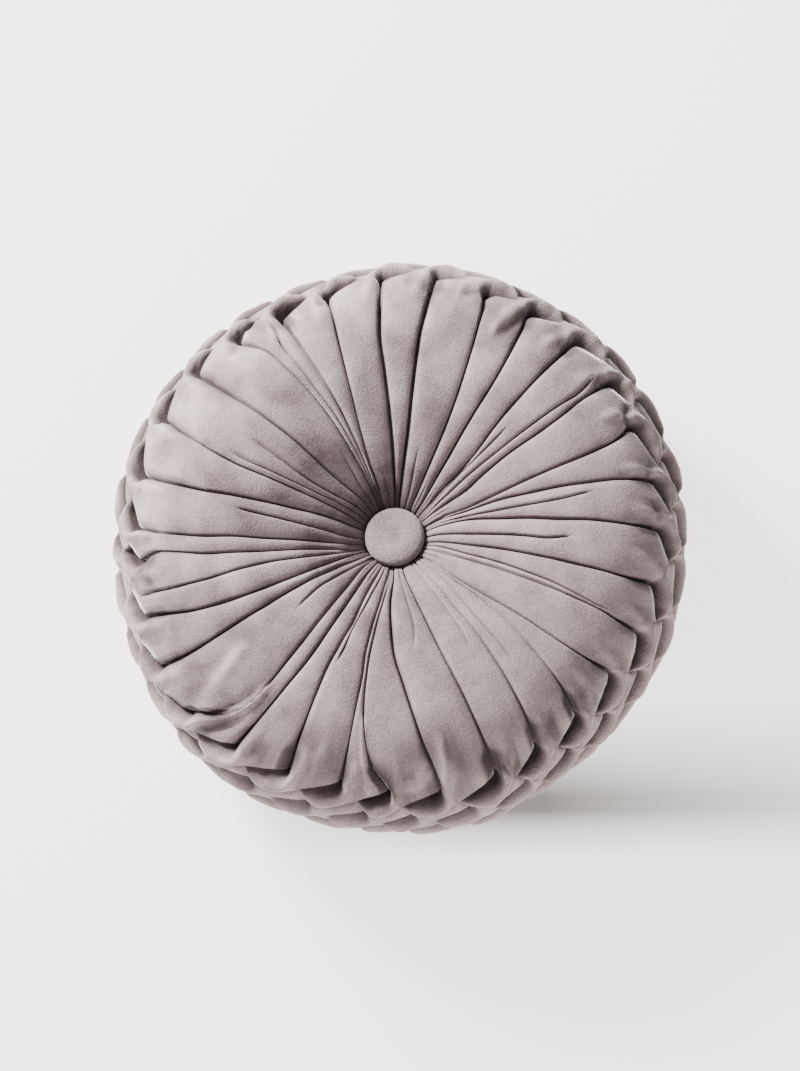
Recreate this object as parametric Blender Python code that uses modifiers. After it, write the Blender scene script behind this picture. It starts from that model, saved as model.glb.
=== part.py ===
"""A round pleated cushion on its back: gathered faces, a braided smocked side and two covered buttons."""

import math

import bmesh
import bpy
import numpy as np
from mathutils import Vector

MM = 0.001

# Driving sizes, in millimetres. The face looks up and the back rests on the ground.
THICKNESS = 130.0
SIDE_RADIUS = 195.0
SEAT_RADIUS = 15.5
SEAT_HEIGHT = 82.0
REST_PRESS = 3.0

# Half of the cushion's section over the tops of the pleats, from the button's seat to the side. Each row is
# a radius and a height.
SECTION = (
    (SEAT_RADIUS, SEAT_HEIGHT),
    (20.0, 84.5),
    (27.0, 91.0),
    (45.0, 104.0),
    (75.0, 117.0),
    (105.0, 126.0),
    (130.0, 130.0),
    (150.0, 126.5),
    (165.0, 119.5),
    (177.0, 110.0),
    (186.5, 97.5),
    (192.5, 83.0),
    (SIDE_RADIUS, THICKNESS / 2),
)

# Pleat folds of the face, clockwise from its top. Each row is one fold: the angle and radius of its knot at
# the side, the angle where the slit past that knot closes, and the fold's angle at four radii on the way in.
FOLD_COLUMNS = ("knot", "knot_radius", "slit_end", "at_150", "at_110", "at_70", "at_30")
FOLDS = (
    (7.9, 176, 15.2, 7.2, 6.2, 6.7, 5.7),
    (20.1, 172, 27.6, 21.7, 23.0, 26.3, 30.4),
    (30.9, 170, 37.9, 32.6, 34.2, 35.2, 39.5),
    (43.3, 172, 50.7, 43.7, 44.2, 47.2, 47.7),
    (55.5, 171, 61.9, 56.1, 57.6, 58.5, 60.0),
    (67.1, 171, 76.9, 70.1, 71.3, 72.7, 69.4),
    (79.9, 173, 86.6, 79.4, 78.0, 75.7, 74.3),
    (91.4, 175, 97.5, 91.1, 89.7, 86.0, 80.0),
    (103.9, 175, 110.7, 104.7, 104.4, 102.9, 100.0),
    (115.1, 177, 123.3, 114.8, 114.4, 113.7, 112.1),
    (125.9, 175, 135.0, 127.6, 128.6, 129.8, 127.0),
    (137.6, 177, 144.9, 135.9, 133.9, 132.0, 135.0),
    (148.9, 176, 155.1, 147.3, 145.6, 145.0, 143.0),
    (159.1, 178, 168.0, 159.5, 160.7, 162.7, 166.9),
    (171.3, 179, 179.8, 174.0, 178.1, 182.6, 182.9),
    (182.5, 177, 189.0, 187.5, 189.0, 190.0, 187.0),
    (192.5, 176, 200.7, 192.2, 192.5, 193.5, 190.5),
    (203.7, 177, 213.0, 204.2, 204.8, 203.2, 203.2),
    (215.8, 178, 224.8, 214.0, 212.0, 211.9, 214.4),
    (227.4, 182, 234.9, 217.7, 217.2, 218.2, 223.3),
    (239.3, 183, 246.2, 236.9, 236.7, 237.6, 235.6),
    (250.1, 180, 257.0, 245.9, 243.2, 242.7, 242.9),
    (262.0, 176, 267.0, 262.0, 259.0, 256.9, 249.7),
    (270.2, 176, 276.9, 268.1, 264.8, 262.6, 263.0),
    (281.5, 175, 290.5, 279.9, 279.6, 280.8, 285.4),
    (295.1, 176, 303.4, 292.5, 290.2, 291.1, 294.4),
    (307.7, 175, 315.0, 307.8, 309.3, 310.9, 316.0),
    (319.7, 172, 325.6, 323.5, 327.1, 330.4, 331.0),
    (330.6, 167, 339.1, 331.4, 333.4, 335.2, 338.0),
    (342.7, 168, 351.2, 342.6, 341.5, 339.7, 342.0),
    (355.7, 176, 363.2, 355.1, 355.2, 356.9, 360.5),
)
FOLD_RADII = (150.0, 110.0, 70.0, 30.0)
LEAST_GAP = 3.5

# Where the pleats of the face meet, a little off its middle, and how far out that pull reaches.
GATHER = (-3.7, -2.5)
GATHER_REACH = 150.0

# Six columns of points to a pleat, as shares of its width on the face and along the braided side.
FACE_SHARES = (0.0, 0.10, 0.30, 0.50, 0.70, 0.90)
SIDE_SHARES = (0.0, 0.20, 0.38, 0.50, 0.70, 0.88)
PER_PLEAT = len(FACE_SHARES)

# Rows of the face: radius of each row, and the rows from which six columns to a pleat are used.
INNER_RADII = (SEAT_RADIUS, 19.0, 25.0, 36.0)
OUTER_RADII = (52.0, 74.0, 100.0, 126.0, 146.0, 163.0)
BACK_RADII = (163.0, 140.0, 115.0, 75.0, 36.0, 20.0, SEAT_RADIUS)

# The outer rows of the face bend to follow the slits, from one radius out to the knots.
KNOT_RADIUS = 176.0
BEND_FROM_RADIUS = 140.0
BEND_SHARE = 0.6

# Folds of the back start at the braid's last knots and are evenly spaced from this radius inwards.
BACK_EVEN_RADIUS = 45.0

# Pleat relief
FOLD_SHOULDER = 6.5
FOLD_DEPTH_COLUMNS = ("radius", "depth")
FOLD_DEPTH = ((SEAT_RADIUS, 0.0), (20.0, 1.6), (30.0, 3.6), (60.0, 5.0), (120.0, 4.6), (165.0, 5.5))
BACK_FOLD_DEPTH = 0.7

# The braid: rows of slits, each with a leaf of cloth lying over the next row, shifted half a pleat a row. Its
# edges are straight diagonal lines that climb one row in one and a half pleats.
BRAID_ROWS = 4
BRAID_PITCH = 25.0
ROW_SHIFT = 0.5
SLIT_SHARE = 0.70
SLIT_RISE = 11.5
TOP_SHARE = 0.68
TOP_RISE = 22.0
EDGE_GAP = 1.5
POCKET_FOOT = 2.6
CREST_BACK = 3.5
LEAF_FOOT = 1.3
FOOT_SHARE = 0.35
UNEVEN_ROWS = 2

# Heights from the section line along the slit's near edge and on the floor of the pocket behind it, by share
# of the pleat past the knot.
EDGE_COLUMNS = ("share", "edge", "floor")
EDGE_TABLE = (
    (0.00, -5.0, -8.5),
    (0.20, 0.8, -8.5),
    (0.38, 0.9, -7.5),
    (0.50, 1.2, -6.0),
    (0.70, 2.2, 1.5),
    (0.88, 2.8, 2.8),
    (1.00, -5.0, -8.5),
)

# Heights of a leaf's crest and outer edge and of the cloth it lies on, by share of the way along
# the leaf from one slit's end to the next.
LEAF_COLUMNS = ("share", "crest", "edge", "foot")
LEAF_TABLE = (
    (0.00, 2.4, 1.4, -1.5),
    (0.18, 3.8, 2.4, -3.5),
    (0.50, 5.0, 3.6, -4.5),
    (0.68, 5.2, 3.8, -5.0),
    (0.80, 4.4, 3.0, -5.0),
    (1.00, 2.4, 1.4, -1.5),
)

# Covered buttons: a dome over a round rim, narrower underneath. Each sits just clear of its seat.
BUTTON_RADIUS = 20.5
BUTTON_FOOT_RADIUS = 12.5
BUTTON_RIM_HEIGHT = 6.2
BUTTON_DOME = 5.6
BUTTON_AT = GATHER
GATHER_FROM = 20.0
CLEARANCE = 0.3
BUTTON_STEPS = 36
BUTTON_ARC_STEPS = 6


def column(table, columns, name):
    """One named column of a table."""
    return np.array([row[columns.index(name)] for row in table], float)


def clear_scene():
    for obj in list(bpy.data.objects):
        bpy.data.objects.remove(obj, do_unlink=True)


def make_collection(name):
    collection = bpy.data.collections.new(name)
    bpy.context.scene.collection.children.link(collection)
    return collection


def make_material(name, colour, roughness):
    material = bpy.data.materials.new(name)
    material.use_nodes = True
    shader = material.node_tree.nodes["Principled BSDF"]
    shader.inputs["Base Color"].default_value = (*colour, 1.0)
    shader.inputs["Roughness"].default_value = roughness
    shader.inputs["Metallic"].default_value = 0.0
    return material


def smooth_curve(points, steps=12):
    """A Catmull-Rom curve through the points, as an array of closely spaced points."""
    pts = np.array(points, float)
    padded = np.vstack([2 * pts[0] - pts[1], pts, 2 * pts[-1] - pts[-2]])
    out = []
    for a, b, c, d in zip(padded, padded[1:], padded[2:], padded[3:]):
        for t in np.arange(steps) / steps:
            out.append(0.5 * (2 * b + (c - a) * t + (2 * a - 5 * b + 4 * c - d) * t**2
                              + (3 * b - a - 3 * c + d) * t**3))
    out.append(pts[-1])
    return np.array(out)


class Section:
    """The cushion's section from the front seat over the side to the back seat, read by distance along it."""

    def __init__(self):
        middle = THICKNESS / 2
        press = 1 + REST_PRESS / middle
        back = [(r, middle - (z - middle) * press) for r, z in SECTION[-2::-1]]
        self.points = smooth_curve(list(SECTION) + back)
        lengths = np.hypot(*np.diff(self.points, axis=0).T)
        self.along = np.concatenate([[0.0], np.cumsum(lengths)])
        self.widest = self.along[int(np.argmax(self.points[:, 0]))]

    def at(self, along):
        radius = np.interp(along, self.along, self.points[:, 0])
        height = np.interp(along, self.along, self.points[:, 1])
        return radius, height

    def outward(self, along):
        step = 1.5
        r0, z0 = self.at(along - step)
        r1, z1 = self.at(along + step)
        length = np.hypot(r1 - r0, z1 - z0)
        return -(z1 - z0) / length, (r1 - r0) / length

    def front(self, radius):
        half = self.along <= self.widest
        return np.interp(radius, self.points[half, 0], self.along[half])

    def back(self, radius):
        half = self.along >= self.widest
        return np.interp(-np.asarray(radius, float), -self.points[half, 0], self.along[half])


def keep_apart(angles, least):
    """Pushes neighbouring folds apart until none lie closer than the least gap."""
    angles = np.array(angles, float)
    for _ in range(60):
        gaps = np.diff(np.append(angles, angles[0] + 360))
        short = np.clip(least - gaps, 0, None) / 2
        angles += np.roll(short, 1) - short
    return angles


def fold_angles(section, along):
    """The angle of every pleat fold at a distance along the section of the face."""
    out = []
    for knot, knot_radius, _, *inward in FOLDS:
        at = section.front(np.array((knot_radius, *FOLD_RADII), float))
        out.append(np.interp(-along, -at, (knot, *inward)))
    return keep_apart(out, LEAST_GAP)


def spread(edges, shares):
    """Angles of all the columns between the folds, at the given shares of each pleat."""
    nexts = np.append(edges[1:], edges[0] + 360)
    shares = np.asarray(shares)
    return (edges[:, None] + (nexts - edges)[:, None] * shares[None, :]).ravel()


def side_angles():
    """Angles of the columns along the braided side, where the fifth column marks the slit's end."""
    starts = column(FOLDS, FOLD_COLUMNS, "knot")
    stops = np.append(starts[1:], starts[0] + 360)
    ends = (column(FOLDS, FOLD_COLUMNS, "slit_end") + starts + SLIT_SHARE * (stops - starts)) / 2
    out = []
    for start, end, stop in zip(starts, ends, stops):
        out.extend(np.interp(SIDE_SHARES, (0.0, SLIT_SHARE, 1.0), (start, end, stop)))
    return np.array(out)


def column_shares(row):
    """Each column's place in the pleat, as a share from 0 to 1, counted from that braid row's own knots."""
    one = np.array(SIDE_SHARES) - ROW_SHIFT * row
    return np.tile(np.mod(one, 1.0), len(FOLDS))


def slit_line(row):
    """Distance past the knots of the line that climbs along each slit and falls back to the next knot."""
    share = column_shares(row)
    climb = share / SLIT_SHARE
    fall = (1 - share) / (1 - SLIT_SHARE)
    return SLIT_RISE * np.where(share <= SLIT_SHARE, climb, fall)


def leaf_shares(row):
    """Each column's place along its leaf, as a share from one slit's end to the next."""
    return np.mod(column_shares(row) + 1 - SLIT_SHARE, 1.0)


def leaf_line(row):
    """Distance past the knots of the leaf's outer edge: straight up to its top, then down its end."""
    share = leaf_shares(row)
    start = SLIT_RISE + EDGE_GAP
    climb = share / TOP_SHARE
    fall = (1 - share) / (1 - TOP_SHARE)
    return start + (TOP_RISE - start) * np.minimum(climb, fall)


def edge_value(row, name):
    return np.interp(column_shares(row), column(EDGE_TABLE, EDGE_COLUMNS, "share"),
                     column(EDGE_TABLE, EDGE_COLUMNS, name))


def leaf_value(row, name):
    return np.interp(leaf_shares(row), column(LEAF_TABLE, LEAF_COLUMNS, "share"),
                     column(LEAF_TABLE, LEAF_COLUMNS, name))


class Cover:
    """Collects the rows of the cover, each a ring of points, and the faces between them."""

    def __init__(self, section):
        self.section = section
        self.mesh = bmesh.new()

    def place(self, angle, along, lift, gathered):
        radius, height = self.section.at(along)
        out_r, out_z = self.section.outward(along)
        radius = radius + out_r * lift
        height = height + out_z * lift
        pull = np.clip(1 - (radius - GATHER_FROM) / GATHER_REACH, 0, 1) ** 1.5 * gathered
        x = radius * np.sin(np.radians(angle)) + GATHER[0] * pull
        y = radius * np.cos(np.radians(angle)) + GATHER[1] * pull
        return np.stack([x, y, np.maximum(height, 0.0)], axis=-1) * MM

    def ring(self, angle, along, lift, gathered=0.0):
        along = np.broadcast_to(along, angle.shape)
        lift = np.broadcast_to(lift, angle.shape)
        return [self.mesh.verts.new(p) for p in self.place(angle, along, lift, gathered)]

    def skin(self, inner, outer):
        count = len(outer)
        for k in range(count):
            n = (k + 1) % count
            self.mesh.faces.new((inner[k], inner[n], outer[n], outer[k]))

    def skin_to_half(self, few, many):
        """Joins a ring to one with half as many points, which match every second point of the other."""
        for k in range(len(few)):
            n = (k + 1) % len(few)
            a, b, c = (many[(2 * k + i) % len(many)] for i in range(3))
            for face in ((a, b, few[k]), (b, few[n], few[k]), (b, c, few[n])):
                self.mesh.faces.new(face)

    def finish(self, name):
        """Turns all faces outwards, splits them into triangles and returns the mesh."""
        bmesh.ops.recalc_face_normals(self.mesh, faces=self.mesh.faces)
        bmesh.ops.triangulate(self.mesh, faces=self.mesh.faces)
        mesh = bpy.data.meshes.new(name)
        self.mesh.to_mesh(mesh)
        self.mesh.free()
        mesh.shade_smooth()
        return mesh


def groove(edges, shares, radius):
    """How far each column lies down its fold: 1 on the fold, 0 past the rounded shoulder."""
    widths = np.radians(np.diff(np.append(edges, edges[0] + 360))) * radius
    shares = np.asarray(shares)
    away = widths[:, None] * np.minimum(shares, 1 - shares)[None, :]
    shoulder = np.minimum(FOLD_SHOULDER, widths * 0.5)[:, None]
    near = np.clip(1 - away / shoulder, 0, 1)
    return (1 - np.sqrt(1 - near**2)).ravel()


def fold_depth(radius):
    radii = column(FOLD_DEPTH, FOLD_DEPTH_COLUMNS, "radius")
    return np.interp(radius, radii, column(FOLD_DEPTH, FOLD_DEPTH_COLUMNS, "depth"))


def face_rings(cover):
    """Rings of the gathered face from the seat out to the last one before the braid."""
    section = cover.section
    side = side_angles()
    knots = section.front(KNOT_RADIUS)
    reach = knots - section.front(BEND_FROM_RADIUS)
    bend = side - spread(fold_angles(section, knots), FACE_SHARES)
    rings = []
    for radius in INNER_RADII + OUTER_RADII:
        along = section.front(radius)
        edges = fold_angles(section, along)
        shares = FACE_SHARES if radius in OUTER_RADII else FACE_SHARES[::2]
        lift = -fold_depth(radius) * groove(edges, shares, radius)
        angle = spread(edges, shares)
        if radius in OUTER_RADII:
            toward = np.clip(1 - (knots - along) / reach, 0, 1)
            angle = angle + bend * toward**2
            along = along + toward * slit_line(0) * BEND_SHARE
        rings.append(cover.ring(angle, along, lift, gathered=1.0))
    return rings


def row_start(section, row):
    """Where a braid row's knots lie. The first rows follow the face's uneven knots, the others are level."""
    own = section.front(np.repeat(column(FOLDS, FOLD_COLUMNS, "knot_radius"), PER_PLEAT))
    uneven = max(0.0, 1 - row / UNEVEN_ROWS)
    return own.mean() + (own - own.mean()) * uneven + BRAID_PITCH * row


def braid_rings(cover):
    """Five rings for each braid row: slit edge, pocket floor, leaf crest, leaf edge and foot."""
    angle = side_angles()
    rings = []
    for row in range(BRAID_ROWS):
        slit = row_start(cover.section, row) + slit_line(row)
        leaf = row_start(cover.section, row) + leaf_line(row)
        next_slit = row_start(cover.section, row + 1) + slit_line(row + 1)
        foot = slit + np.minimum(POCKET_FOOT, FOOT_SHARE * (leaf - slit))
        crest = leaf - np.minimum(CREST_BACK, FOOT_SHARE * (leaf - slit))
        under = leaf + np.minimum(LEAF_FOOT, FOOT_SHARE * (next_slit - leaf))
        rings.append(cover.ring(angle, slit, edge_value(row, "edge")))
        rings.append(cover.ring(angle, foot, edge_value(row, "floor")))
        rings.append(cover.ring(angle, crest, leaf_value(row, "crest")))
        rings.append(cover.ring(angle, leaf, leaf_value(row, "edge")))
        rings.append(cover.ring(angle, under, leaf_value(row, "foot")))
    return rings


def back_rings(cover):
    """Rings of the back, from the braid in to the seat, with straight folds from the last row's knots."""
    section = cover.section
    edges = side_angles()[column_shares(BRAID_ROWS) == 0]
    even = np.arange(len(FOLDS)) * 360.0 / len(FOLDS)
    even += np.mean(edges - even)
    all_shares = np.sort(np.mod(np.array(SIDE_SHARES) - ROW_SHIFT, 1.0))
    rings = []
    for radius in BACK_RADII:
        straight = np.clip((BACK_RADII[0] - radius) / (BACK_RADII[0] - BACK_EVEN_RADIUS), 0, 1)
        here = edges + (even - edges) * straight
        shares = all_shares if radius == BACK_RADII[0] else all_shares[::2]
        lift = -fold_depth(radius) * BACK_FOLD_DEPTH * groove(here, shares, radius)
        rings.append(cover.ring(spread(here, shares), section.back(radius), lift))
    return rings


def make_cover(collection, material):
    cover = Cover(Section())
    face = face_rings(cover)
    braid = braid_rings(cover)
    back = back_rings(cover)
    inner = face[:len(INNER_RADII)]
    outer = face[len(INNER_RADII):]
    cover.mesh.faces.new(inner[0])
    for a, b in zip(inner, inner[1:]):
        cover.skin(a, b)
    cover.skin_to_half(inner[-1], outer[0])
    for a, b in zip(outer + braid, (outer + braid)[1:]):
        cover.skin(a, b)
    shift = SIDE_SHARES.index(ROW_SHIFT)
    last = braid[-1][shift:] + braid[-1][:shift]
    cover.skin(last, back[0])
    cover.skin_to_half(back[1], back[0])
    for a, b in zip(back[1:], back[2:]):
        cover.skin(a, b)
    cover.mesh.faces.new(back[-1])
    mesh = cover.finish("cover")
    mesh.materials.append(material)
    cushion = bpy.data.objects.new("cover", mesh)
    collection.objects.link(cushion)
    return cushion


def centre_on_origin(cushion, riders):
    """Moves the cushion and what sits on it sideways until its box stands centred on the origin."""
    corners = np.array([v.co for v in cushion.data.vertices])
    middle = (corners.min(axis=0) + corners.max(axis=0)) / 2
    for vertex in cushion.data.vertices:
        vertex.co.x -= middle[0]
        vertex.co.y -= middle[1]
    for rider in riders:
        rider.location.x -= middle[0]
        rider.location.y -= middle[1]


def button_profile():
    """Half of the button's section, from the top of its dome round its rim to the middle of its foot."""
    points = []
    for k in range(BUTTON_ARC_STEPS + 1):
        t = math.pi / 2 * k / BUTTON_ARC_STEPS
        radius = BUTTON_RADIUS * math.sin(t)
        points.append((radius, BUTTON_RIM_HEIGHT + BUTTON_DOME * math.cos(t) ** 0.8))
    for k in range(1, BUTTON_ARC_STEPS):
        t = math.pi / 2 * k / (BUTTON_ARC_STEPS - 1)
        radius = BUTTON_FOOT_RADIUS + (BUTTON_RADIUS - BUTTON_FOOT_RADIUS) * math.cos(t)
        points.append((radius, BUTTON_RIM_HEIGHT * (1 - math.sin(t))))
    points.append((0.0, 0.0))
    return points


def make_button(collection, name, material, at, height, faces_up):
    profile = button_profile()
    mesh = bpy.data.meshes.new(name)
    verts = [Vector((r, 0.0, z)) * MM for r, z in profile]
    mesh.from_pydata(verts, [(k, k + 1) for k in range(len(verts) - 1)], [])
    mesh.materials.append(material)
    button = bpy.data.objects.new(name, mesh)
    collection.objects.link(button)
    screw = button.modifiers.new("turn", "SCREW")
    screw.angle = math.tau
    screw.steps = BUTTON_STEPS
    screw.render_steps = BUTTON_STEPS
    screw.use_merge_vertices = True
    screw.merge_threshold = 0.00001
    screw.use_smooth_shade = True
    button.location = Vector((at[0], at[1], height)) * MM
    if not faces_up:
        button.rotation_euler = (math.pi, 0.0, 0.0)
    return button


def main():
    clear_scene()
    collection = make_collection("pleated_cushion")
    velvet = make_material("velvet", (0.49, 0.44, 0.43), 0.85)
    button_velvet = make_material("button_velvet", (0.50, 0.45, 0.44), 0.85)
    back_velvet = make_material("back_button_velvet", (0.48, 0.43, 0.42), 0.85)
    cushion = make_cover(collection, velvet)
    middle = THICKNESS / 2
    back_seat = middle - (SEAT_HEIGHT - middle) * (1 + REST_PRESS / middle)
    front = make_button(collection, "button_front", button_velvet, BUTTON_AT,
                        SEAT_HEIGHT + CLEARANCE, faces_up=True)
    back = make_button(collection, "button_back", back_velvet, (0.0, 0.0),
                       back_seat - CLEARANCE, faces_up=False)
    centre_on_origin(cushion, (front, back))


main()
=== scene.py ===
"""Dresses the round pleated cushion: velvet cover, folds, braided side, buttons, lights and camera."""

import math

import bmesh
import bpy
import numpy as np
from mathutils import Matrix, Vector


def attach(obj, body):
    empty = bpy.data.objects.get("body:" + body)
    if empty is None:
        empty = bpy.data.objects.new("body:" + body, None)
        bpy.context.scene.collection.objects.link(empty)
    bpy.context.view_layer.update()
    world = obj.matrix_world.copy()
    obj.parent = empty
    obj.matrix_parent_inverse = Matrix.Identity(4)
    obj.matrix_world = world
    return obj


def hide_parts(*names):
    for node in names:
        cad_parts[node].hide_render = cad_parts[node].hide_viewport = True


MM = 0.001
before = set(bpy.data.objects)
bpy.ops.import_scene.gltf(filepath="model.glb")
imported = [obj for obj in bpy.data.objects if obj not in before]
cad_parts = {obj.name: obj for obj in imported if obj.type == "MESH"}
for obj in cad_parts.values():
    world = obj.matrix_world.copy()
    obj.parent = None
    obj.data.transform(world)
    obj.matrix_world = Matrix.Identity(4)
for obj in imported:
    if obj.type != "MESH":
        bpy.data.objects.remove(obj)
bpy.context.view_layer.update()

# Main sizes, in millimetres, as in the solids
THICKNESS = 130.0
SIDE_RADIUS = 195.0
SEAT_RADIUS = 15.5
SEAT_HEIGHT = 82.0
REST_PRESS = 3.0
SECTION = (
    (SEAT_RADIUS, SEAT_HEIGHT), (19.5, 83.9), (22.2, 88), (27, 92), (45, 104), (75, 117),
    (105, 126), (130, 128.6), (150, 126), (165, 119.5), (177, 110), (186.5, 97.5),
    (192.5, 83), (SIDE_RADIUS, THICKNESS / 2),
)
SLOPE_REACH = 3.0

# Pleat folds of the face, clockwise from its top: angle and radius of the knot, angle where the slit past it
# closes, the fold's angle at radii on the way in, and half the width it stands open
FOLDS = (
    ("knot", "knot_radius", "slit_end", "at_165", "at_150", "at_130", "at_110", "at_90", "at_70", "at_50",
     "at_30", "open"),
    (7.9, 176, 15.2, 7.7, 7.2, 6.4, 6.2, 6.4, 6.7, 6.3, 5.7, 0.9),
    (20.1, 172, 27.6, 20.9, 21.7, 22.9, 24, 25.1, 26.1, 27, 28.4, 0.2),
    (30.9, 170, 37.9, 31.6, 32.6, 33.6, 34.2, 34.4, 35.2, 36.7, 39.5, 0.3),
    (43.3, 172, 50.7, 43.5, 43.7, 43.9, 44.2, 45.2, 47.2, 47.7, 47.7, 0.2),
    (55.5, 171, 61.9, 55.8, 56.1, 57.2, 57.6, 57.5, 58.5, 60.9, 60, 0.1),
    (67.1, 171, 76.9, 68.4, 70.1, 70.9, 71.3, 71.7, 72.7, 73.4, 69.4, 0.1),
    (79.9, 173, 86.6, 79.7, 79.4, 78.9, 78, 77.1, 75.7, 75.2, 71.8, 0.1),
    (91.4, 175, 97.5, 91.3, 91.1, 90.4, 89.7, 88, 86, 82, 78.5, 0.2),
    (103.9, 175, 110.7, 104.4, 104.7, 104.7, 104.4, 103.8, 102.9, 102.3, 100, 0.1),
    (115.1, 177, 123.3, 115.1, 114.8, 114.7, 114.4, 114.1, 113.7, 113.5, 112.1, 0.1),
    (125.9, 175, 135, 126.7, 127.6, 128.3, 128.6, 129, 129.8, 130.2, 127, 0.1),
    (137.6, 177, 144.9, 136.8, 135.9, 135, 133.9, 132.8, 132, 131.8, 130, 0.1),
    (148.9, 176, 155.1, 148.1, 147.3, 146.4, 145.6, 144.9, 145, 143.9, 143, 0.1),
    (159.1, 178, 168, 159.3, 159.5, 159.9, 160.7, 161.8, 162.7, 164.3, 166.9, 0.1),
    (171.3, 179, 179.8, 172.3, 174, 175.9, 178.1, 181, 182.6, 183.9, 182, 0.3),
    (181.9, 177, 188.5, 186.2, 188.4, 190, 190.9, 191.3, 191, 189.3, 186.3, 0),
    (192.5, 176, 200.7, 192.3, 192.2, 192.1, 192, 192.9, 192.7, 191.4, 190, 0.1),
    (203.7, 177, 213, 204, 204.2, 204.5, 204.8, 204.1, 203.2, 203.8, 203.2, 0.1),
    (215.8, 178, 224.8, 214.9, 214, 212.9, 212, 211.7, 211.9, 212.4, 214.4, 0.3),
    (227.4, 182, 234.9, 220.2, 217.7, 217.2, 217.2, 217.5, 218.2, 219.3, 223.3, 0),
    (239.3, 183, 246.2, 237.6, 236.9, 236.7, 236.7, 237.3, 237.6, 236.9, 235.6, 0.2),
    (250.1, 180, 257, 248, 245.9, 244.2, 243.2, 242.9, 242.7, 242.8, 242.9, 0.2),
    (262.3, 176, 267, 263.2, 262, 260, 259, 258, 256.9, 254.6, 249.7, 0),
    (269.6, 176, 276.9, 267.9, 266.7, 265.4, 264.8, 263.7, 262.6, 260.6, 257.5, 0.1),
    (281.5, 175, 290.5, 280.7, 279.9, 279.3, 279.6, 280, 280.8, 282.3, 283.4, 0.1),
    (295.1, 176, 303.4, 293.8, 292.5, 290.9, 290.2, 290.6, 291.1, 291.8, 292.4, 0.1),
    (307.7, 175, 315, 307.7, 307.8, 308.5, 309.3, 310.3, 310.9, 312.3, 318, 0.1),
    (319.7, 172, 325.6, 321, 323.5, 325, 327.1, 328.9, 330.4, 331.6, 332.4, 0.2),
    (330.6, 167, 339.1, 330.8, 331.4, 332.2, 333.4, 334.5, 335.2, 336.4, 337.6, 0.1),
    (342.7, 168, 351.2, 342.7, 342.6, 342.1, 341.5, 340.7, 339.7, 338.8, 341, 0.1),
    (355.7, 176, 363.2, 355.4, 355.1, 354.6, 355.2, 355.9, 356.9, 358.3, 360.5, 0.9),
)
FOLD_RADII = (165, 150, 130, 110, 90, 70, 50, 30)

# Folds that soften towards the rim, by their number from 1, and the share of depth left there
SOFT_RIM = (("fold", "share"), (20, 0.30), (23, 0.40), (24, 0.65), (26, 0.8))
SOFT_RIM_FROM = 128.0
SOFT_RIM_FULL = 158.0

# Least degrees between neighbouring folds, and the rounds that push them apart
LEAST_GAP = 1.1
APART_ROUNDS = 60

# Shorter folds: pleat, from 1, depth against a main fold's, length over which it fades in, and path as pairs
# of radius and angle
SHORT_FOLDS = (
    ("pleat", "depth", "fade", "path"),
    (1, 0.5, 22, ((62, 15.4), (50, 16), (30, 19))),
    (4, 0.8, 8, ((99, 48.6), (80, 49), (60, 48.9), (45, 50), (30, 51))),
    (4, 0.8, 6, ((160, 55.2), (130, 54.2), (90, 54), (60, 53.6), (45, 54.6), (30, 55.3))),
    (7, 0.8, 10, ((135, 81.7), (110, 82.6), (90, 82.3), (70, 81.6), (50, 79.4), (30, 75))),
    (8, 1.2, 14, ((121, 95.5), (100, 96.9), (90, 96.3), (70, 95.2), (50, 93.9), (30, 90.3))),
    (9, 0.9, 8, ((152, 114.3), (130, 113.6), (110, 112.5), (90, 111.5), (70, 110.3), (50, 109.5),
                   (30, 105.6))),
    (12, 0.9, 10, ((125, 141.9), (110, 141.1), (90, 140.7), (70, 139.3), (50, 136.7), (30, 135.4))),
    (13, 0.6, 16, ((103, 151), (90, 149.9), (70, 149.4), (30, 149.5))),
    (14, 0.5, 20, ((92, 173), (66, 169.9), (50, 171.2), (30, 173.5))),
    (17, 0.7, 8, ((106, 202.7), (94, 202), (80, 202.2), (50, 200), (30, 197))),
    (20, 0.7, 24, ((94, 228), (73, 230.5), (64, 231.2), (50, 230.5), (30, 228))),
    (22, 0.9, 6, ((176, 256), (165, 254.3), (150, 253.1), (130, 252.5), (110, 252.6), (90, 252.9),
                    (70, 252), (50, 250), (30, 247))),
    (24, 0.9, 10, ((111, 275), (90, 274), (70, 272.7), (50, 270.6), (35, 266.9), (25, 266))),
    (26, 0.9, 8, ((125, 293.2), (110, 292.6), (90, 293.2), (70, 294), (50, 296.1), (30, 300))),
    (26, 0.9, 10, ((116, 300.3), (90, 299.7), (70, 298.9), (50, 300.6), (30, 307.5))),
    (27, 0.5, 18, ((64, 325), (40, 324), (25, 325))),
    (28, 0.9, 12, ((172, 328.6), (162, 327.4), (150, 326.9), (130, 327.9), (110, 329), (90, 331),
                     (60, 333.4), (30, 335))),
)

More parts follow.
